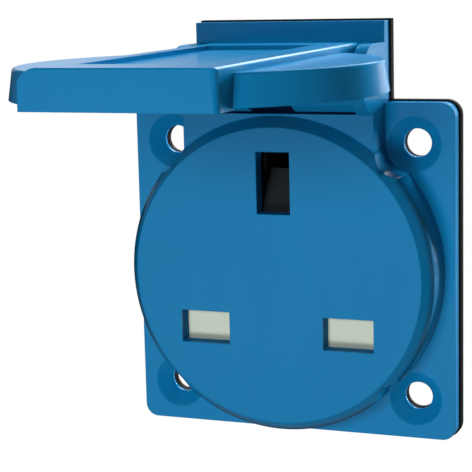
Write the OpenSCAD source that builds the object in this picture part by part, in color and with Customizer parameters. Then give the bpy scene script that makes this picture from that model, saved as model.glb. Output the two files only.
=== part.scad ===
// Panel-mount socket outlet for three flat-pin plugs, with a square flange and a hinged lid.
// X points right, Y into the panel and Z up. The origin is the flange's middle on the panel face.
// The lid is drawn open, square to the panel, and swings down about the hinge pin to close.

/* [Flange] */
// Side of the square flange
flange_w = 50; // [48:0.5:60]
// Thickness of the flange and of the hinge plate above it
flange_t = 2.7; // [2.4:0.1:4]
// Corner radius of the flange
flange_corner_r = 2; // [1:0.5:4]
// Spacing of the four fixing holes, both ways
hole_pitch = 38; // [37:0.5:40]
// Diameter of a fixing hole
hole_d = 4.2; // [3.2:0.1:4.6]
// Diameter of the countersink at the flange face
countersink_d = 8; // [6.5:0.1:8.4]
// Room round a screw head where it cuts into the round face
head_clearance = 0.25; // [0.1:0.05:0.5]

/* [Gasket] */
// Thickness of the flange gasket
gasket_t = 1.5; // [1:0.1:3]
// How far the gasket stands out past the flange all round
gasket_overhang = 0.25; // [0.1:0.05:0.8]

/* [Round face] */
// Diameter of the raised round face at its foot
disc_d = 47; // [46:0.25:47.5]
// Height of the face above the flange
disc_h = 8; // [7:0.25:10]
// Width of the bevel round the face
bevel_w = 1.5; // [0.5:0.1:2]
// Height of the bevel round the face
bevel_h = 2; // [1:0.1:2.4]
// Thickness of the face
face_t = 2.4; // [1.8:0.1:3]
// Wall round the cavity behind the face
disc_wall = 1.7; // [1.4:0.1:2]

/* [Pins and slots] */
// Distance between line and neutral pins, and from their row up to the earth pin
pin_pitch = 22.2; // [21.8:0.1:22.6]
// Drop of the line and neutral row below the middle of the face
row_drop = 8.05; // [7.5:0.05:8.5]
// Thickness of a line or neutral pin
pin_t = 4; // [3.8:0.1:4.2]
// Height of the earth pin
earth_pin_h = 8; // [7.8:0.1:8.2]
// Length of the earth pin
earth_pin_len = 22.7; // [22:0.1:23.5]
// Width of the line and neutral slots
slot_w = 7.6; // [7:0.1:8]
// Height of the line and neutral slots
slot_h = 4.8; // [4.5:0.1:5.2]
// Width of the earth slot
earth_slot_w = 5.1; // [4.6:0.1:5.5]
// Height of the earth slot
earth_slot_h = 9.1; // [8.8:0.1:9.6]
// Offset of the earth slot below the earth pin's axis
earth_slot_drop = 0.3; // [0:0.05:0.4]

/* [Hinge] */
// Width of the hinge plate, the pedestal and the pair of ears
plate_w = 29.3; // [26:0.1:29.5]
// Height of the hinge plate above the hinge axis
plate_over = 8.15; // [6:0.25:12]
// Height of the pedestal in front of the flange
pedestal_h = 6; // [5.5:0.1:6.5]
// Rise of the pedestal above the round face
pedestal_rise = 0.3; // [0.1:0.1:1]
// Distance of the hinge axis in front of the flange
hinge_out = 5.9; // [5.6:0.1:6.4]
// Radius of an ear round the hinge axis
ear_r = 5.15; // [4.8:0.05:5.3]
// Thickness of an ear
ear_w = 1.85; // [1.5:0.05:2.5]
// Gap between an ear and the lid
ear_gap = 0.25; // [0.2:0.05:0.5]
// Radius of the lid's hinge barrels
barrel_r = 4.5; // [4:0.1:4.8]
// Gap between the two hinge barrels
barrel_split = 6.8; // [3:0.2:10]
// Gap between the hinge barrels and the pedestal
barrel_gap = 0.3; // [0.3:0.05:0.8]
// Height of the nose on each barrel that stops the lid against the plate
stop_h = 2.2; // [1.5:0.1:3]
// Gap between that nose and the plate with the lid open
stop_gap = 0.3; // [0.1:0.05:0.6]
// Diameter of the hinge pin
hinge_pin_d = 3; // [2:0.1:3.5]
// Running clearance of the pin in the barrels, on the radius
pin_run = 0.05; // [0.02:0.01:0.1]
// Fitting clearance of the pin in the ears, on the radius
pin_fit = 0.02; // [0.01:0.01:0.05]

/* [Lid] */
// Gap between the shut lid's rim and the pedestal
lid_seat = 0.35; // [0.3:0.05:0.6]
// Gap between the shut lid's rim and the bevel of the face
lid_side = 0.3; // [0.3:0.05:0.6]
// Wall of the lid at its rim
lid_rim_w = 0.65; // [0.5:0.05:1.2]
// Height of the lid's dish
lid_h = 4; // [3.8:0.1:5]
// Draft of the lid's side, over its height
lid_draft = 0.6; // [0.3:0.05:0.8]
// Radius of the lid's top edge
lid_edge_r = 0.4; // [0.2:0.05:0.7]
// Thickness of the lid's top
lid_t = 1.55; // [1.4:0.05:1.8]
// Inward slope of the lid's inner side
lid_taper = 1; // [0.6:0.1:1.4]
// Height of the raised bar above the lid's top
rib_h = 0.9; // [0.8:0.05:1.2]
// Radius of the bar's left long shoulder
left_shoulder_r = 2.7; // [1:0.1:3.6]
// Radius of the bar's right long shoulder
right_shoulder_r = 0.6; // [0.2:0.1:2.4]
// Width of the rib that the recess leaves on each side of the bar
rib_w = 4.7; // [3:0.1:7]
// Depth of the recess in the bar's top
recess_depth = 0.6; // [0.3:0.05:0.8]
// Reach of the finger grip past the round rim
grip_reach = 1; // [0.5:0.05:3]
// Drop of the grip's lower edge below the rim
grip_drop = 0.2; // [0.1:0.05:0.4]
// Radius of the grip's left upright corner
left_corner_r = 0.3; // [0.2:0.1:2]
// Radius of the grip's right upright corner
right_corner_r = 0.9; // [0.2:0.1:2]
// Radius of the grip's top front edge
grip_edge_r = 0.25; // [0.1:0.05:0.6]
// Width of the flat strip in front of the recess
grip_land = 6.7; // [3:0.1:10]
// Distance from the recess back to the hinge axis
hinge_land = 6; // [5:0.1:8]
// Radius of the lid seal at the middle of its width
seal_r = 19.4; // [17:0.1:20]
// Width of the lid seal
seal_w = 2; // [1.4:0.1:3]
// Depth of the seal's groove in the lid
seal_groove = 0.6; // [0.4:0.05:0.8]
// Stand-out of the seal from the lid
seal_proud = 0.45; // [0.3:0.05:0.5]

/* [Shutter] */
// Thickness of the sliding shutter
shutter_t = 1.4; // [1:0.1:1.8]
// Gap in front of and behind the shutter
shutter_gap = 0.2; // [0.15:0.05:0.3]
// Overlap of the shutter round each slot
shutter_cover = 0.2; // [0.15:0.05:0.3]
// Width of the shutter's stem and of the earth cam
stem_w = 5.8; // [5.4:0.1:6.4]
// Depth of the earth cam's ramp
cam_depth = 5.8; // [5.2:0.1:6.2]
// Length of the cam's tongue behind the shutter
tongue_len = 4; // [3:0.5:5]
// Thickness of the spring foot behind the shutter
foot_t = 1.5; // [1.2:0.1:2]
// Length of the return spring at rest
spring_len = 8.9; // [8:0.1:10]
// Mean diameter of the return spring
spring_d = 3.4; // [3:0.1:3.6]
// Wire diameter of the return spring
wire_d = 0.4; // [0.3:0.05:0.5]
// Turns of the return spring
spring_turns = 7; // [5:1:8]

/* [Contacts and rear body] */
// Wall of the rear body outside a pocket's corner
body_wall = 1.07; // [1:0.01:1.4]
// Thickness of the contact strip
strip_t = 0.8; // [0.6:0.1:1]
// Gap between a contact's two leaves
jaw_gap = 3.6; // [3.4:0.1:3.8]
// Width of a contact strip
strip_w = 6.2; // [5.5:0.1:6.4]
// Outward flare of a contact's lips
lip_out = 0.5; // [0.2:0.1:0.7]
// Side of a terminal block
block_w = 6.4; // [6.2:0.1:6.5]
// Length of a terminal block
block_len = 6.5; // [6:0.1:9]
// Clearance of a terminal block in its pocket
block_fit = 0.1; // [0.05:0.05:0.2]
// Diameter of the wire hole in a terminal block
wire_hole_d = 3.2; // [2.5:0.1:3.4]
// Diameter of a terminal screw
clamp_d = 3; // [2.5:0.1:3.2]
// Diameter of a terminal screw's head
clamp_head_d = 3.8; // [3.4:0.1:3.9]
// Thickness of the rear cover
cover_t = 1.8; // [1.6:0.1:3]
// Diameter of a wire entry in the rear cover
entry_d = 6; // [5.6:0.1:6.4]
// Bevel round the cover's back edge and at the mouth of each wire entry
cover_bevel = 0.6; // [0.2:0.1:0.8]
// Distance of each body screw from the middle, sideways
body_screw_x = 13; // [12:0.25:14]
// Height of the body screws above the middle
body_screw_z = 7.5; // [7:0.25:9]
// Diameter of a body screw
body_screw_d = 2.9; // [2.5:0.1:3]
// Diameter of a body screw's head
body_head_d = 5.6; // [5:0.1:6]
// Diameter of the boss that takes a body screw
boss_d = 6; // [5.4:0.1:6.4]

/* [Hidden] */
$fn = 96;

// Small overlap that lets one cut run clear through a face
eps = 0.5;
// Clearance of a loose screw or boss in its hole, on the radius
loose = 0.2;
// Clearance of a screw in the hole that it threads into, on the radius
thread_fit = 0.05;
// Depth of a screw's slot
slot_depth = 0.9;
// Width of a screw's slot
slot_cut = 0.8;

// Planes from the panel forwards
flange_back = -gasket_t;
flange_front = flange_back - flange_t;
face_y = flange_front - disc_h;
face_back = face_y + face_t;
pedestal_front = flange_front - pedestal_h;

// Round face and its cavity
disc_r = disc_d / 2;
face_r = disc_r - bevel_w;
cavity_r = disc_r - disc_wall;
countersink_h = (countersink_d - hole_d) / 2;

// Pin places
line_x = pin_pitch / 2;
row_z = -row_drop;
earth_z = row_z + pin_pitch;
earth_slot_z = earth_z - earth_slot_drop;
pin_window_low = earth_z - earth_pin_h / 2 - 2 * shutter_cover;
pin_window_top = earth_z + earth_pin_h / 2 + 2 * shutter_cover;

// Hinge
pedestal_top = disc_r + pedestal_rise;
hinge_y = flange_front - hinge_out;
hinge_z = pedestal_top + barrel_gap + barrel_r;
plate_top = hinge_z + plate_over;
ear_x = plate_w / 2 - ear_w;
bar_x = ear_x - ear_gap;

// Lid, in its open place
lid_y = hinge_y - hinge_z;
rim_shut = pedestal_front - lid_seat;
rim_z = hinge_z + hinge_y - rim_shut;
lid_top = rim_z + lid_h;
bar_top = lid_top + rib_h;
bevel_start = flange_front - disc_h + bevel_h;
rim_bevel_r = disc_r - max(0, bevel_start - rim_shut) * bevel_w / bevel_h;
lid_in_r = rim_bevel_r + lid_side;
lid_r = lid_in_r + lid_rim_w;
lid_edge_at = lid_r - lid_draft * (lid_h - lid_edge_r) / lid_h;
lid_floor = lid_top - lid_t;
grip_y = lid_y - lid_r - grip_reach;
grip_low = rim_z - grip_drop;
recess_x = bar_x - rib_w;
barrel_len = bar_x - barrel_split / 2;
barrel_mid = (bar_x + barrel_split / 2) / 2;

// Shutter layers and travel
shutter_front = face_back + shutter_gap;
shutter_back = shutter_front + shutter_t;
guide_front = shutter_back + shutter_gap;
guide_r = cavity_r - 4 * shutter_gap;
blade_h = slot_h + 2 * shutter_cover;
blade_x = line_x + slot_w / 2 + shutter_cover;
travel = slot_h / 2 + shutter_cover + pin_t / 2 + shutter_gap;
cam_low = earth_slot_z - earth_slot_h / 2 - shutter_cover;
cam_top = earth_z - earth_pin_h / 2 + travel + shutter_gap;
cam_back = shutter_front + cam_depth;
tongue_low = cam_low - tongue_len;
foot_low = row_z - foot_t / 2;
spring_low = foot_low - spring_len;
groove_w = spring_d + wire_d + 2 * loose;
spring_y = guide_front + groove_w / 2;
foot_back = spring_y + spring_d / 2;

// Contacts, terminals and rear body
jaw_back = face_y + earth_pin_len + strip_t;
block_front = jaw_back + strip_t;
block_back = block_front + block_len;
carrier_back = block_back + block_fit;
cover_back = carrier_back + cover_t;
pocket_w = block_w + 2 * block_fit;
body_r = norm([line_x + pocket_w / 2, row_drop + pocket_w / 2]) + body_wall;
line_window = 3;
earth_window = 6.6;
line_pocket = guide_front + line_window;
earth_pocket = cam_back + shutter_gap + earth_window;
clamp_y = block_front + block_len * 0.4;
clamp_head_h = 1.5;
clamp_gap = 0.3;
body_head_h = 1.6;
// Depth that a body screw keeps from the face
screw_stop = face_back + 1;

// Places and turns of the line, neutral and earth poles; the clamp screw points outwards
LINE = [line_x, row_z, 0];
NEUTRAL = [-line_x, row_z, 180];
EARTH = [0, earth_z, 90];
POLES = [LINE, NEUTRAL, EARTH];

// Extrude a front-view outline between two depths
module along_y(y0, y1) {
    translate([0, y1, 0])
        rotate([90, 0, 0])
            linear_extrude(y1 - y0)
                children();
}

// Extrude a side-view outline, drawn as depth and height, between two widths
module along_x(x0, x1) {
    translate([x0, 0, 0])
        rotate([90, 0, 90])
            linear_extrude(x1 - x0)
                children();
}

// Round bar along the depth
module rod_y(x, z, r, y0, y1) {
    translate([x, y1, z])
        rotate([90, 0, 0])
            cylinder(r = r, h = y1 - y0);
}

// Round bar along the hinge axis
module rod_x(x0, x1, r) {
    translate([x0, hinge_y, hinge_z])
        rotate([0, 90, 0])
            cylinder(r = r, h = x1 - x0);
}

// Cone along the depth, from radius r0 at y0 to r1 at y1
module cone_y(x, z, r0, r1, y0, y1) {
    translate([x, y1, z])
        rotate([90, 0, 0])
            cylinder(r1 = r1, r2 = r0, h = y1 - y0);
}

// Centred rectangle with round corners
module round_rect(w, h, r) {
    square([w - 2 * r, h], center = true);
    square([w, h - 2 * r], center = true);
    for (x = [-1, 1], z = [-1, 1])
        translate([x * (w / 2 - r), z * (h / 2 - r)])
            circle(r);
}

// Flange outline with the hinge plate, grown by a margin
module flange_outline(grow) {
    round_rect(flange_w + 2 * grow, flange_w + 2 * grow, flange_corner_r + grow);
    translate([-plate_w / 2 - grow, 0])
        square([plate_w + 2 * grow, plate_top + grow]);
}

// Repeat children at the four fixing holes
module at_holes() {
    for (x = [-1, 1], z = [-1, 1])
        translate([x * hole_pitch / 2, 0, z * hole_pitch / 2])
            children();
}

// Repeat children at the two body screws
module at_body_screws() {
    for (s = [-1, 1])
        translate([s * body_screw_x, 0, body_screw_z])
            children();
}

// Side view of an ear: a round end, cut level with the pedestal, on a web that stands on the plate
module ear_side() {
    intersection() {
        translate([hinge_y, hinge_z])
            circle(ear_r);
        translate([hinge_y - ear_r, pedestal_top])
            square(2 * ear_r);
    }
    translate([hinge_y, pedestal_top - eps])
        square([flange_front - hinge_y, hinge_z + ear_r - pedestal_top + eps]);
}

// Three pin slots seen from the front, grown by a margin
module pin_slots(grow) {
    for (s = [-1, 1])
        translate([s * line_x, row_z])
            square([slot_w + 2 * grow, slot_h + 2 * grow], center = true);
    translate([0, earth_slot_z])
        square([earth_slot_w + 2 * grow, earth_slot_h + 2 * grow], center = true);
}

// Flange, round face, pedestal, hinge plate and ears, moulded in one
module housing() {
    color([0.11, 0.42, 0.65])
        difference() {
            union() {
                along_y(flange_front, flange_back)
                    flange_outline(0);
                rod_y(0, 0, disc_r, bevel_start, flange_front + eps);
                cone_y(0, 0, face_r, disc_r, face_y, bevel_start);
                along_y(pedestal_front, flange_front + eps)
                    translate([-plate_w / 2, 0])
                        square([plate_w, pedestal_top]);
                for (s = [-1, 1])
                    along_x(s * (ear_x + ear_w / 2) - ear_w / 2, s * (ear_x + ear_w / 2) + ear_w / 2)
                        ear_side();
            }
            rod_y(0, 0, cavity_r, face_back, flange_back + eps);
            along_y(face_y - eps, face_back + eps)
                pin_slots(0);
            at_holes() {
                rod_y(0, 0, hole_d / 2, flange_front - eps, flange_back + eps);
                cone_y(0, 0, countersink_d / 2, hole_d / 2, flange_front, flange_front + countersink_h);
                rod_y(0, 0, countersink_d / 2 + head_clearance, face_y - eps, flange_front);
            }
            rod_x(-plate_w / 2 - eps, plate_w / 2 + eps, hinge_pin_d / 2 + pin_fit);
        }
    color([0.11, 0.42, 0.65])
        at_body_screws()
            difference() {
                rod_y(0, 0, boss_d / 2, face_back - eps, flange_back);
                rod_y(0, 0, body_screw_d / 2 + thread_fit, screw_stop, flange_back + eps);
            }
}

// Rubber sheet between the flange and the panel
module flange_gasket() {
    color([0.03, 0.03, 0.035])
        difference() {
            along_y(flange_back, 0)
                flange_outline(gasket_overhang);
            rod_y(0, 0, body_r + loose, flange_back - eps, eps);
            at_holes()
                rod_y(0, 0, hole_d / 2, flange_back - eps, eps);
        }
}

// Half section of the lid's dish, from its axis outwards
module dish_section() {
    polygon([
        [0, 0], [lid_r, 0], [lid_edge_at, lid_h - lid_edge_r],
        [lid_edge_at - lid_edge_r, lid_h], [0, lid_h]
    ]);
    translate([lid_edge_at - lid_edge_r, lid_h - lid_edge_r])
        circle(lid_edge_r);
}

// Cross section of the raised bar, with round shoulders
module bar_section() {
    left = left_shoulder_r - bar_x;
    right = bar_x - right_shoulder_r;
    polygon([
        [-bar_x, grip_low], [bar_x, grip_low], [bar_x, bar_top - right_shoulder_r],
        [right, bar_top], [left, bar_top], [-bar_x, bar_top - left_shoulder_r]
    ]);
    translate([left, bar_top - left_shoulder_r])
        circle(left_shoulder_r);
    translate([right, bar_top - right_shoulder_r])
        circle(right_shoulder_r);
}

// Plan of the bar, with round corners at the grip
module bar_plan() {
    left = left_corner_r - bar_x;
    right = bar_x - right_corner_r;
    polygon([
        [-bar_x, hinge_y], [-bar_x, grip_y + left_corner_r], [left, grip_y],
        [right, grip_y], [bar_x, grip_y + right_corner_r], [bar_x, hinge_y]
    ]);
    translate([left, grip_y + left_corner_r])
        circle(left_corner_r);
    translate([right, grip_y + right_corner_r])
        circle(right_corner_r);
}

// Side view of the bar: deep at the grip, shallow over the hinge, with a round top front edge
module bar_side() {
    polygon([
        [grip_y, grip_low], [lid_y, grip_low], [lid_y, lid_floor], [hinge_y, lid_floor],
        [hinge_y, bar_top], [grip_y + grip_edge_r, bar_top], [grip_y, bar_top - grip_edge_r]
    ]);
    translate([grip_y + grip_edge_r, bar_top - grip_edge_r])
        circle(grip_edge_r);
}

// Raised bar from the finger grip to the hinge
module bar() {
    intersection() {
        along_y(grip_y, hinge_y)
            bar_section();
        translate([0, 0, grip_low])
            linear_extrude(bar_top - grip_low)
                bar_plan();
        along_x(-bar_x, bar_x)
            bar_side();
    }
}

// Shallow recess in the bar's top, which leaves a rib on each side
module bar_recess() {
    translate([-recess_x, grip_y + grip_land, bar_top - recess_depth])
        cube([2 * recess_x, hinge_y - hinge_land - grip_y - grip_land, recess_depth + eps]);
}

// Dish, raised bar and hinge barrels, moulded in one
module lid() {
    color([0.12, 0.45, 0.68])
        difference() {
            union() {
                translate([0, lid_y, rim_z])
                    rotate_extrude()
                        dish_section();
                bar();
                for (s = [-1, 1]) {
                    rod_x(s * barrel_mid - barrel_len / 2, s * barrel_mid + barrel_len / 2, barrel_r);
                    along_x(s * barrel_mid - barrel_len / 2, s * barrel_mid + barrel_len / 2)
                        translate([hinge_y, hinge_z])
                            square([hinge_out - stop_gap, stop_h]);
                }
            }
            translate([0, lid_y, rim_z - eps])
                cylinder(r1 = lid_in_r + lid_taper * eps / (lid_floor - rim_z),
                         r2 = lid_in_r - lid_taper, h = lid_floor - rim_z + eps);
            translate([0, lid_y, lid_floor - eps])
                difference() {
                    cylinder(r = seal_r + seal_w / 2, h = seal_groove + eps);
                    translate([0, 0, -eps])
                        cylinder(r = seal_r - seal_w / 2, h = seal_groove + 3 * eps);
                }
            bar_recess();
            rod_x(-plate_w, plate_w, hinge_pin_d / 2 + pin_run);
        }
}

// Rubber ring in the lid's groove
module lid_seal() {
    color([0.05, 0.05, 0.055])
        translate([0, lid_y, lid_floor - seal_proud])
            rotate_extrude()
                translate([seal_r - seal_w / 2, 0])
                    square([seal_w, seal_proud + seal_groove]);
}

// Steel pin through the ears and the lid's barrels
module hinge_pin() {
    color([0.72, 0.73, 0.74])
        rod_x(-plate_w / 2, plate_w / 2, hinge_pin_d / 2);
}

// Cream slide that covers the line and neutral slots
module shutter_plate() {
    color([0.80, 0.80, 0.72]) {
        along_y(shutter_front, shutter_back)
            intersection() {
                union() {
                    translate([0, row_z])
                        square([2 * blade_x, blade_h], center = true);
                    translate([-stem_w / 2, row_z])
                        square([stem_w, cam_low - row_z]);
                }
                translate([0, travel])
                    circle(cavity_r - 2 * shutter_gap);
            }
        along_y(shutter_back, foot_back)
            translate([-spring_d / 2, foot_low])
                square([spring_d, foot_t]);
    }
}

// Wedge behind the earth slot: the earth pin slides down it and pushes the shutter down
module earth_cam() {
    color([0.10, 0.11, 0.115])
        along_x(-stem_w / 2, stem_w / 2)
            polygon([
                [shutter_front, cam_low], [cam_back - strip_t, cam_top],
                [cam_back, cam_top], [cam_back, tongue_low],
                [shutter_back, tongue_low], [shutter_back, cam_low]
            ]);
}

// Ring of points round the spring wire at a turn angle
function wire_ring(a, sides) = [
    for (i = [0 : sides - 1])
        let (b = 360 * i / sides, r = spring_d / 2 + wire_d / 2 * cos(b))
        [
            r * cos(a), spring_y + r * sin(a),
            spring_low + wire_d / 2 + (spring_len - wire_d) * a / (360 * spring_turns) + wire_d / 2 * sin(b)
        ]
];

// Coil that pushes the shutter back up
module shutter_spring() {
    sides = 6;
    steps = 16 * spring_turns;
    points = [for (i = [0 : steps]) each wire_ring(360 * spring_turns * i / steps, sides)];
    skin = [
        for (i = [0 : steps - 1], j = [0 : sides - 1])
            let (k = (j + 1) % sides)
            each [
                [i * sides + j, i * sides + k, (i + 1) * sides + k],
                [i * sides + j, (i + 1) * sides + k, (i + 1) * sides + j]
            ]
    ];
    first = [[for (j = [0 : sides - 1]) sides - 1 - j]];
    last = [[for (j = [0 : sides - 1]) steps * sides + j]];
    color([0.7, 0.7, 0.72])
        polyhedron(points, concat(skin, first, last));
}

// Square pocket that takes a pole's contact and terminal block
module pocket(p, y0, y1) {
    along_y(y0, y1)
        translate([p[0], p[1]])
            square(pocket_w, center = true);
}

// Window for the earth pin, up to a given height
module earth_pin_window(top, y0, y1) {
    along_y(y0, y1)
        translate([-earth_slot_w / 2, pin_window_low])
            square([earth_slot_w, top - pin_window_low]);
}

// Round insert behind the face, in which the shutter, its cam and its spring slide
module shutter_guide() {
    color([0.07, 0.07, 0.075])
        difference() {
            rod_y(0, 0, guide_r, guide_front, flange_back);
            for (p = [LINE, NEUTRAL])
                pocket(p, line_pocket, flange_back + eps);
            along_y(guide_front - eps, line_pocket + eps)
                intersection() {
                    pin_slots(-shutter_cover);
                    translate([-guide_r, -guide_r])
                        square([2 * guide_r, guide_r]);
                }
            earth_pin_window(guide_r + eps, guide_front - eps, flange_back + eps);
            along_y(guide_front - eps, cam_back + shutter_gap)
                translate([-stem_w / 2 - loose, tongue_low - travel - loose])
                    square([stem_w + 2 * loose, cam_top - tongue_low + travel + 2 * loose]);
            along_y(guide_front - eps, guide_front + groove_w)
                translate([-groove_w / 2, spring_low])
                    square([groove_w, foot_low + foot_t + loose - spring_low]);
            at_body_screws()
                rod_y(0, 0, boss_d / 2 + loose, guide_front - eps, flange_back + eps);
        }
}

// Moulded block through the panel that holds the contacts and the terminal blocks
module contact_carrier() {
    color([0.07, 0.07, 0.075])
        difference() {
            union() {
                rod_y(0, 0, body_r - loose, flange_back, eps);
                rod_y(0, 0, body_r, 0, carrier_back);
            }
            for (p = POLES)
                pocket(p, p == EARTH ? earth_pocket : flange_back - eps, carrier_back + eps);
            earth_pin_window(pin_window_top, flange_back - eps, earth_pocket + eps);
            for (p = POLES)
                clamp_place(p)
                    cylinder(r = clamp_head_d / 2 + loose, h = body_r);
            at_body_screws()
                rod_y(0, 0, body_screw_d / 2 + loose, flange_back - eps, carrier_back + eps);
        }
}

// Put a shape that points along Z onto a pole's clamp screw axis, starting at the block's middle
module clamp_place(p) {
    translate([p[0], clamp_y, p[1]])
        rotate([0, 90 - p[2], 0])
            children();
}

// Side view of a spring contact: two leaves with flared lips and a back wall
module jaw_section(front) {
    in = jaw_gap / 2;
    out = in + strip_t;
    bend = front + 2 * lip_out;
    polygon([
        [front, in + lip_out], [bend, in], [jaw_back, in], [jaw_back, -in], [bend, -in],
        [front, -in - lip_out], [front, -out - lip_out], [bend, -out], [jaw_back + strip_t, -out],
        [jaw_back + strip_t, out], [bend, out], [front, out + lip_out]
    ]);
}

// Contact for a flat pin that lies on its side
module flat_contact(x) {
    color([0.80, 0.62, 0.25])
        translate([0, 0, row_z])
            along_x(x - strip_w / 2, x + strip_w / 2)
                jaw_section(line_pocket + loose);
}

module line_contact() { flat_contact(line_x); }

module neutral_contact() { flat_contact(-line_x); }

module earth_contact() {
    color([0.80, 0.62, 0.25])
        translate([0, 0, earth_z])
            rotate([0, 90, 0])
                along_x(-strip_w / 2, strip_w / 2)
                    jaw_section(earth_pocket + loose);
}

// Brass block with a wire hole from behind and a clamp screw from outside
module terminal(p) {
    color([0.78, 0.60, 0.24])
        difference() {
            along_y(block_front, block_back)
                translate([p[0], p[1]])
                    square(block_w, center = true);
            rod_y(p[0], p[1], wire_hole_d / 2, block_front + block_len * 0.2, block_back + eps);
            clamp_place(p)
                cylinder(r = clamp_d / 2 + thread_fit, h = block_w);
        }
}

module line_terminal() { terminal(LINE); }

module neutral_terminal() { terminal(NEUTRAL); }

module earth_terminal() { terminal(EARTH); }

// Slotted clamp screws, one to a terminal
module terminal_screws() {
    seat = block_w / 2 + clamp_gap;
    color([0.70, 0.71, 0.72])
        for (p = POLES)
            clamp_place(p)
                difference() {
                    union() {
                        translate([0, 0, wire_hole_d / 4])
                            cylinder(r = clamp_d / 2, h = seat - wire_hole_d / 4 + eps);
                        translate([0, 0, seat])
                            cylinder(r = clamp_head_d / 2, h = clamp_head_h);
                    }
                    translate([-clamp_head_d, -slot_cut / 2, seat + clamp_head_h - slot_depth])
                        cube([2 * clamp_head_d, slot_cut, slot_depth + eps]);
                }
}

// Round plate that shuts the terminal pockets, with a funnel mouth for each wire
module rear_cover() {
    bevel_y = cover_back - cover_bevel;
    color([0.08, 0.08, 0.085])
        difference() {
            union() {
                rod_y(0, 0, body_r, carrier_back, bevel_y);
                cone_y(0, 0, body_r, body_r - cover_bevel, bevel_y, cover_back);
            }
            for (p = POLES) {
                rod_y(p[0], p[1], entry_d / 2, carrier_back - eps, cover_back + eps);
                cone_y(p[0], p[1], entry_d / 2, entry_d / 2 + cover_bevel, bevel_y, cover_back);
            }
            at_body_screws()
                rod_y(0, 0, body_screw_d / 2 + loose, carrier_back - eps, cover_back + eps);
        }
}

// Two screws from behind that hold the cover and the carrier to the housing
module body_screws() {
    color([0.70, 0.71, 0.72])
        at_body_screws()
            difference() {
                union() {
                    rod_y(0, 0, body_screw_d / 2, screw_stop + loose, cover_back + eps);
                    rod_y(0, 0, body_head_d / 2, cover_back, cover_back + body_head_h);
                }
                translate([-body_head_d, cover_back + body_head_h - slot_depth, -slot_cut / 2])
                    cube([2 * body_head_d, slot_depth + eps, slot_cut]);
            }
}

housing();
flange_gasket();
lid();
lid_seal();
hinge_pin();
shutter_plate();
earth_cam();
shutter_spring();
shutter_guide();
contact_carrier();
line_contact();
neutral_contact();
earth_contact();
line_terminal();
neutral_terminal();
earth_terminal();
terminal_screws();
rear_cover();
body_screws();
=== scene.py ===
import math

import bmesh
import bpy
from mathutils import Matrix, Vector


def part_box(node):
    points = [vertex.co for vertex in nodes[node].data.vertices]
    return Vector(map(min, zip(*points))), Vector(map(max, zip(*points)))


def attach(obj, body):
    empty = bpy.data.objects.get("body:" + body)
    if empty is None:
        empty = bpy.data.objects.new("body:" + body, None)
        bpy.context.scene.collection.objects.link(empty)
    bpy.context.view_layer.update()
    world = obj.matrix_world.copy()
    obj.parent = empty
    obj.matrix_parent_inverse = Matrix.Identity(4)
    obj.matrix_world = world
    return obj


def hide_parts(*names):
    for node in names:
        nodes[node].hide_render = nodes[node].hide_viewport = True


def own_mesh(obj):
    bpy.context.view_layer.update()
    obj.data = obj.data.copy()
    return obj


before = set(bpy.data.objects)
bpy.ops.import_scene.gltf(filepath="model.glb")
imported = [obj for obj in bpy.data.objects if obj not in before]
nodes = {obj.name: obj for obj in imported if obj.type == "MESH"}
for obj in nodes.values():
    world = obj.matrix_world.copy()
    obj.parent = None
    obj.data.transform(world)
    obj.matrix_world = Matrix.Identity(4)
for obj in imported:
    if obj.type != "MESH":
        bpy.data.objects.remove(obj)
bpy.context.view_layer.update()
scene = bpy.context.scene
MM = 0.001
WHITE = (1.0, 1.0, 1.0, 1.0)
UP = (0.0, 0.0, 1.0)


# Node helpers: each adds nodes to a tree, and most return the socket that holds the result

NOISE_MIDDLE = (0.3, 0.7)


def new_material(name):
    mat = bpy.data.materials.new(name)
    mat.use_nodes = True
    tree = mat.node_tree
    shader = tree.nodes["Principled BSDF"]
    coord = tree.nodes.new("ShaderNodeTexCoord")
    return mat, tree, shader, coord.outputs["Object"]


def noise(tree, where, scale, detail=4.0, rough=0.55):
    node = tree.nodes.new("ShaderNodeTexNoise")
    node.inputs["Scale"].default_value = scale
    node.inputs["Detail"].default_value = detail
    node.inputs["Roughness"].default_value = rough
    tree.links.new(where, node.inputs["Vector"])
    return node.outputs["Fac"]


def ramp(tree, fac, dark_at, dark, light_at, light):
    node = tree.nodes.new("ShaderNodeValToRGB")
    for stop, place, colour in zip(node.color_ramp.elements, (dark_at, light_at), (dark, light)):
        stop.position = place
        stop.color = (*colour, 1.0)
    tree.links.new(fac, node.inputs["Fac"])
    return node.outputs["Color"]


def limits(tree, value, from_lo, from_hi, to_lo, to_hi):
    """Maps a range of a value to another range, and holds the ends outside it."""
    node = tree.nodes.new("ShaderNodeMapRange")
    for name, v in (("From Min", from_lo), ("From Max", from_hi), ("To Min", to_lo), ("To Max", to_hi)):
        node.inputs[name].default_value = v
    tree.links.new(value, node.inputs["Value"])
    return node.outputs["Result"]


def spread(tree, fac, low, high):
    """Stretches the middle of a noise over the given range."""
    return limits(tree, fac, *NOISE_MIDDLE, low, high)


def calc(tree, kind, a, b):
    """One Math node; a and b are sockets or numbers."""
    node = tree.nodes.new("ShaderNodeMath")
    node.operation = kind
    for socket, v in zip(node.inputs, (a, b)):
        if isinstance(v, float):
            socket.default_value = v
        else:
            tree.links.new(v, socket)
    return node.outputs[0]


def times(tree, a, b):
    return calc(tree, "MULTIPLY", a, b)


def larger(tree, a, b):
    return calc(tree, "MAXIMUM", a, b)


def stretched(tree, where, sx, sy, sz):
    node = tree.nodes.new("ShaderNodeMapping")
    node.inputs["Scale"].default_value = (sx, sy, sz)
    tree.links.new(where, node.inputs["Vector"])
    return node.outputs["Vector"]


def length(tree, vector):
    node = tree.nodes.new("ShaderNodeVectorMath")
    node.operation = "LENGTH"
    tree.links.new(vector, node.inputs[0])
    return node.outputs["Value"]


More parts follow.
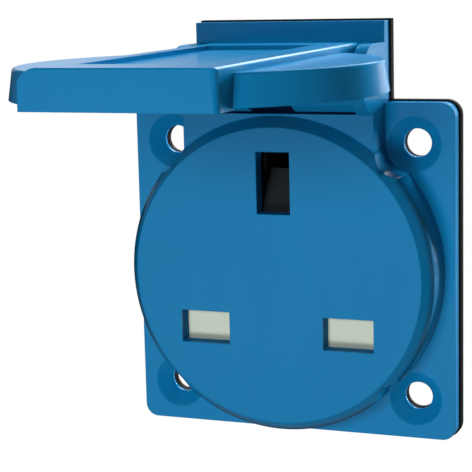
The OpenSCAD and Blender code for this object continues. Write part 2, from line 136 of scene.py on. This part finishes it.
def along(tree, vector, direction):
    """How far a vector points in the given direction."""
    node = tree.nodes.new("ShaderNodeVectorMath")
    node.operation = "DOT_PRODUCT"
    node.inputs[1].default_value = direction
    tree.links.new(vector, node.inputs[0])
    return node.outputs["Value"]


def split(tree, vector):
    """The three sockets X, Y and Z of a vector."""
    node = tree.nodes.new("ShaderNodeSeparateXYZ")
    tree.links.new(vector, node.inputs[0])
    return node.outputs


def bump(tree, shader, height, strength, distance):
    node = tree.nodes.new("ShaderNodeBump")
    node.inputs["Strength"].default_value = strength
    node.inputs["Distance"].default_value = distance
    tree.links.new(height, node.inputs["Height"])
    tree.links.new(node.outputs["Normal"], shader.inputs["Normal"])


# Materials

FACE_FRONT = -12.2 * MM
SLOT_DEPTHS = (FACE_FRONT + 0.1 * MM, FACE_FRONT + 0.3 * MM)
SLOT_REACH = (19.5 * MM, 19.9 * MM)
SLOT_ROUGHNESS = 0.7
PLAIN_SPECULAR, SLOT_SPECULAR = 0.5, 0.06
GLOSS_LOW, GLOSS_HIGH = 0.95, 1.07


def slot_walls(tree, where):
    """1 on the walls of the three slots, which the mould's pins leave matt, and 0 on the outer faces."""
    depth = limits(tree, split(tree, where)["Y"], *SLOT_DEPTHS, 0.0, 1.0)
    radius = length(tree, stretched(tree, where, 1.0, 0.0, 1.0))
    return times(tree, depth, limits(tree, radius, *SLOT_REACH, 1.0, 0.0))


def moulded(name, dark, light, rough, grain, grain_depth, matt_slots=False):
    """Moulded plastic: slow flow marks in the colour, patchy gloss and a fine mould grain."""
    mat, tree, shader, where = new_material(name)
    flow = noise(tree, stretched(tree, where, 1.0, 1.0, 0.35), scale=55.0, detail=5.0, rough=0.6)
    tree.links.new(ramp(tree, flow, 0.32, dark, 0.68, light), shader.inputs["Base Color"])
    patch = noise(tree, where, scale=240.0, detail=3.0)
    gloss = spread(tree, patch, rough * GLOSS_LOW, rough * GLOSS_HIGH)
    if matt_slots:
        inside = slot_walls(tree, where)
        gloss = larger(tree, gloss, times(tree, inside, SLOT_ROUGHNESS))
        specular = limits(tree, inside, 0.0, 1.0, PLAIN_SPECULAR, SLOT_SPECULAR)
        tree.links.new(specular, shader.inputs["Specular IOR Level"])
    tree.links.new(gloss, shader.inputs["Roughness"])
    fine = noise(tree, where, scale=grain, detail=2.0, rough=0.5)
    bump(tree, shader, fine, strength=0.12, distance=grain_depth)
    return mat


def rubber(name, dark, light):
    """Cut rubber sheet: dusty black with a coarse open grain."""
    mat, tree, shader, where = new_material(name)
    dust = noise(tree, where, scale=320.0, detail=6.0, rough=0.65)
    tree.links.new(ramp(tree, dust, 0.35, dark, 0.75, light), shader.inputs["Base Color"])
    tree.links.new(spread(tree, dust, 0.42, 0.6), shader.inputs["Roughness"])
    grain = noise(tree, where, scale=2600.0, detail=3.0)
    bump(tree, shader, grain, strength=0.35, distance=0.04 * MM)
    return mat


def metal(name, dark, light, rough):
    """Drawn or turned metal: fine lines along Y and a little tarnish."""
    mat, tree, shader, where = new_material(name)
    lines = noise(tree, stretched(tree, where, 900.0, 30.0, 900.0), scale=1.0, detail=3.0)
    tarnish = noise(tree, where, scale=260.0, detail=5.0, rough=0.6)
    tree.links.new(ramp(tree, tarnish, 0.3, dark, 0.7, light), shader.inputs["Base Color"])
    tree.links.new(spread(tree, lines, rough - 0.06, rough + 0.1), shader.inputs["Roughness"])
    bump(tree, shader, lines, strength=0.2, distance=0.02 * MM)
    shader.inputs["Metallic"].default_value = 1.0
    return mat


BLUE = moulded("blue_plastic", (0.0025, 0.164, 0.372), (0.0035, 0.174, 0.390), 0.19, 3000.0, 0.008 * MM,
               matt_slots=True)
CREAM = moulded("cream_plastic", (0.50, 0.56, 0.46), (0.55, 0.60, 0.50), 0.5, 2600.0, 0.02 * MM)
BLACK = moulded("black_plastic", (0.011, 0.013, 0.015), (0.019, 0.021, 0.023), 0.48, 2400.0, 0.03 * MM)
SLATE = moulded("slate_plastic", (0.018, 0.021, 0.023), (0.025, 0.028, 0.030), 0.5, 2400.0, 0.03 * MM)
RUBBER = rubber("black_rubber", (0.004, 0.004, 0.0045), (0.012, 0.012, 0.0125))
BRASS = metal("brass", (0.52, 0.33, 0.10), (0.68, 0.47, 0.17), 0.32)
STEEL = metal("plated_steel", (0.44, 0.45, 0.46), (0.60, 0.61, 0.62), 0.3)

FINISH = {
    "housing": BLUE, "lid": BLUE,
    "flange_gasket": RUBBER, "lid_seal": RUBBER,
    "shutter_plate": CREAM,
    "earth_cam": SLATE, "shutter_guide": BLACK, "contact_carrier": BLACK, "rear_cover": BLACK,
    "line_contact": BRASS, "neutral_contact": BRASS, "earth_contact": BRASS,
    "line_terminal": BRASS, "neutral_terminal": BRASS, "earth_terminal": BRASS,
    "hinge_pin": STEEL, "terminal_screws": STEEL, "body_screws": STEEL, "shutter_spring": STEEL,
}
EDGE_WIDTH_MM = {
    "housing": 0.22, "lid": 0.15, "flange_gasket": 0.08, "shutter_plate": 0.1,
    "rear_cover": 0.12, "contact_carrier": 0.12, "body_screws": 0.08,
}
WELD_WITHIN = 0.002 * MM
FLAT_WITHIN = math.radians(0.4)
SHARP_OVER = math.radians(38)
EDGE_SEGMENTS = 3


def soften(obj, width):
    """Breaks the sharp moulded edges of a CAD node with a small bevel and evens its shading."""
    weld = obj.modifiers.new("weld", "WELD")
    weld.merge_threshold = WELD_WITHIN
    flat = obj.modifiers.new("flat_faces", "DECIMATE")
    flat.decimate_type = "DISSOLVE"
    flat.angle_limit = FLAT_WITHIN
    edges = obj.modifiers.new("soft_edges", "BEVEL")
    edges.width = width
    edges.segments = EDGE_SEGMENTS
    edges.limit_method = "ANGLE"
    edges.angle_limit = SHARP_OVER
    even = obj.modifiers.new("even_shading", "WEIGHTED_NORMAL")
    even.mode = "FACE_AREA"
    even.weight = 100
    even.keep_sharp = True


for name, mat in FINISH.items():
    obj = nodes[name]
    obj.data.materials.clear()
    obj.data.materials.append(mat)

for name, width in EDGE_WIDTH_MM.items():
    soften(nodes[name], width * MM)


# Return spring: a smooth coil in place of the CAD one, built at the CAD spring's length; the real spring
# shortens as the shutter goes down 4.8 mm, but this coil stays fixed

WIRE_D = 0.4 * MM
COIL_TURNS, COIL_STEPS, WIRE_SIDES = 7, 40, 10


def wire_ring(bm, centre, coil_r, turn, z):
    """One ring of points round the wire, at an angle of the coil and a height."""
    ring = []
    for side in range(WIRE_SIDES):
        angle = 2 * math.pi * side / WIRE_SIDES
        reach = coil_r + WIRE_D / 2 * math.cos(angle)
        x, y = centre.x + reach * math.cos(turn), centre.y + reach * math.sin(turn)
        ring.append(bm.verts.new((x, y, z + WIRE_D / 2 * math.sin(angle))))
    return ring


def coil():
    lo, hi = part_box("shutter_spring")
    mid = (lo + hi) / 2
    coil_r = (hi.x - lo.x - WIRE_D) / 2
    count = COIL_TURNS * COIL_STEPS
    bm = bmesh.new()
    rings = []
    for i in range(count + 1):
        z = lo.z + WIRE_D / 2 + (hi.z - lo.z - WIRE_D) * i / count
        rings.append(wire_ring(bm, mid, coil_r, 2 * math.pi * i / COIL_STEPS, z))
    for ring, after in zip(rings, rings[1:]):
        for j in range(WIRE_SIDES):
            k = (j + 1) % WIRE_SIDES
            bm.faces.new((ring[j], ring[k], after[k], after[j])).smooth = True
    bm.faces.new(list(reversed(rings[0])))
    bm.faces.new(rings[-1])
    bmesh.ops.recalc_face_normals(bm, faces=bm.faces)
    mesh = bpy.data.meshes.new("return_coil")
    bm.to_mesh(mesh)
    bm.free()
    obj = bpy.data.objects.new("return_coil", mesh)
    scene.collection.objects.link(obj)
    mesh.materials.append(STEEL)
    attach(obj, "socket")
    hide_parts("shutter_spring")
    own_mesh(obj)


coil()


# Stage: white to the camera, a dim room with bright patches to mirrors, and soft lamps on the object

ROOM_LIGHT = 0.02
ROOM_MIRRORED = 0.05

# Two bright panels behind the object, as directions: the left one's sides point in from its upright edges
LEFT_PANEL_SIDES = ((-0.946, -0.326, 0.0), (0.695, 0.719, 0.0))
LEFT_PANEL_FADE = (0.0, 0.14)
LEFT_PANEL_TOP = (0.5, 0.7)
LEFT_PANEL_LEVEL = 0.65
RIGHT_PANEL_MIDDLE = (0.08, 0.997, 0.0)
RIGHT_PANEL_EDGE = (0.965, 0.985)

FLOOR_Z = -0.45
FLOOR_R = 20.0
FLOOR_SIDES = 96
FLOOR_COLOUR = (0.025, 0.025, 0.025, 1.0)
FLOOR_FADE = (0.5, 1.2)
FLOOR_UNDER_OBJECT = 0.94

# Stretches of floor with a painted glow that only mirrors see, standing in for lit floor: where each one
# fades in or out along Y or X, and how bright it is
NEAR_START, NEAR_END = (0.8, 1.8), (3.0, 4.0)
NEAR_LEVEL, NEAR_LEFT_OVER = 0.2, 0.3
FAR_START, FAR_RIGHT = (5.6, 7.0), (2.3, 3.2)
FAR_LEFT_OVER = 0.2
BEHIND_LEFT = (-1.5, 0.3)
FRONT_START, FRONT_RIGHT = (-0.7, -1.5), (1.5, 0.3)
FRONT_LEVEL = 0.42


def shown(tree, mirrored):
    """1 to the camera, and the given level to mirrors and glass."""
    path = tree.nodes.new("ShaderNodeLightPath")
    mirror = larger(tree, path.outputs["Is Glossy Ray"], path.outputs["Is Transmission Ray"])
    return larger(tree, path.outputs["Is Camera Ray"], times(tree, mirror, mirrored))


def make_world():
    """White to the camera. Mirrors see a dim room with the two panels behind the object."""
    world = bpy.data.worlds.new("studio")
    scene.world = world
    world.use_nodes = True
    tree = world.node_tree
    tree.nodes.clear()
    out_there = tree.nodes.new("ShaderNodeTexCoord").outputs["Generated"]
    left = limits(tree, along(tree, out_there, UP), *LEFT_PANEL_TOP, LEFT_PANEL_LEVEL, 0.0)
    for side in LEFT_PANEL_SIDES:
        left = times(tree, left, limits(tree, along(tree, out_there, side), *LEFT_PANEL_FADE, 0.0, 1.0))
    right = limits(tree, along(tree, out_there, RIGHT_PANEL_MIDDLE), *RIGHT_PANEL_EDGE, ROOM_MIRRORED, 1.0)
    seen = shown(tree, larger(tree, left, right))
    back = tree.nodes.new("ShaderNodeBackground")
    back.inputs["Color"].default_value = WHITE
    tree.links.new(larger(tree, seen, ROOM_LIGHT), back.inputs["Strength"])
    out = tree.nodes.new("ShaderNodeOutputWorld")
    tree.links.new(back.outputs[0], out.inputs["Surface"])


def make_floor():
    """Pale floor, white away from the object. Mirrors see painted glowing stretches on it, behind the
    object and in front of it.
    """
    bpy.ops.mesh.primitive_circle_add(vertices=FLOOR_SIDES, radius=FLOOR_R, fill_type="NGON",
                                      location=(0, 0, FLOOR_Z))
    floor = bpy.context.object
    floor.name = "floor"
    mat = bpy.data.materials.new("floor_white")
    mat.use_nodes = True
    tree = mat.node_tree
    tree.nodes.clear()
    where = tree.nodes.new("ShaderNodeTexCoord").outputs["Object"]
    axes = split(tree, where)
    x, y = axes["X"], axes["Y"]
    near_start = limits(tree, y, *NEAR_START, 0.0, NEAR_LEVEL)
    near = times(tree, near_start, limits(tree, y, *NEAR_END, 1.0, NEAR_LEFT_OVER))
    far_start = limits(tree, y, *FAR_START, 0.0, 1.0)
    far_back = times(tree, far_start, limits(tree, x, *FAR_RIGHT, 1.0, FAR_LEFT_OVER))
    behind = times(tree, larger(tree, near, far_back), limits(tree, x, *BEHIND_LEFT, 0.0, 1.0))
    front_start = limits(tree, y, *FRONT_START, 0.0, FRONT_LEVEL)
    front = times(tree, front_start, limits(tree, x, *FRONT_RIGHT, 0.0, 1.0))
    seen = shown(tree, larger(tree, behind, front))
    level = limits(tree, length(tree, where), *FLOOR_FADE, FLOOR_UNDER_OBJECT, 1.0)
    glow = tree.nodes.new("ShaderNodeEmission")
    glow.inputs["Color"].default_value = WHITE
    tree.links.new(times(tree, seen, level), glow.inputs["Strength"])
    plain = tree.nodes.new("ShaderNodeBsdfDiffuse")
    plain.inputs["Color"].default_value = FLOOR_COLOUR
    both = tree.nodes.new("ShaderNodeAddShader")
    tree.links.new(plain.outputs[0], both.inputs[0])
    tree.links.new(glow.outputs[0], both.inputs[1])
    out = tree.nodes.new("ShaderNodeOutputMaterial")
    tree.links.new(both.outputs[0], out.inputs["Surface"])
    floor.data.materials.append(mat)


# Name, place, aim, width and height in metres, watts, and whether mirrors see the lamp
LAMPS = (
    ("key_low", (0.0, -1.0, -0.31), (0, -0.01, 0.01), (0.30, 0.24), 6.8, False),
    ("key_high", (0.0, -1.0, 0.26), (0, -0.01, 0.01), (0.30, 0.20), 4.3, False),
    ("top", (-0.05, 0.76, 0.68), (0, -0.03, 0.03), (0.6, 0.4), 37.0, False),
    ("side", (0.40, 1.05, 0.02), (0, 0, 0.01), (0.25, 0.5), 57.0, False),
    ("back", (-0.10, 1.10, 0.455), (0, 0, 0.02), (0.50, 0.17), 0.95, True),
)


def soft_box(name, place, aim, size, watts, mirrored):
    data = bpy.data.lights.new(name, "AREA")
    data.shape = "RECTANGLE"
    data.size, data.size_y = size
    data.energy = watts
    lamp = bpy.data.objects.new(name, data)
    scene.collection.objects.link(lamp)
    lamp.location = place
    lamp.rotation_mode = "QUATERNION"
    lamp.rotation_quaternion = (Vector(aim) - Vector(place)).to_track_quat("-Z", "Y")
    lamp.visible_camera = False
    lamp.visible_glossy = mirrored


make_world()
make_floor()
for lamp in LAMPS:
    soft_box(*lamp)


# Camera: the photo's angle, distance and slight roll, fitted to the flange, lid and slots

CAMERA_AZIMUTH, CAMERA_ELEVATION, CAMERA_ROLL = 21.368, 9.611, -1.423
CAMERA_TARGET = Vector((-9.006, -4.2, 4.479)) * MM
CAMERA_DISTANCE = 239.35 * MM
CAMERA_CLIP = (0.01, 20.0)
SENSOR_MM = 36.0
PHOTO_PX = 472
FOCAL_PX = 1570.235


def make_camera():
    az, el, roll = (math.radians(a) for a in (CAMERA_AZIMUTH, CAMERA_ELEVATION, CAMERA_ROLL))
    back = Vector((math.sin(az) * math.cos(el), -math.cos(az) * math.cos(el), math.sin(el)))
    level = Vector((math.cos(az), math.sin(az), 0.0))
    upright = back.cross(level)
    right = math.cos(roll) * level + math.sin(roll) * upright
    up = -math.sin(roll) * level + math.cos(roll) * upright
    data = bpy.data.cameras.new("camera")
    data.sensor_width = SENSOR_MM
    data.lens = FOCAL_PX * SENSOR_MM / PHOTO_PX
    data.clip_start, data.clip_end = CAMERA_CLIP
    camera = bpy.data.objects.new("camera", data)
    scene.collection.objects.link(camera)
    placed = Matrix((right, up, back)).transposed().to_4x4()
    placed.translation = CAMERA_TARGET + back * CAMERA_DISTANCE
    camera.matrix_world = placed
    scene.camera = camera


make_camera()
scene.view_settings.view_transform = "Standard"
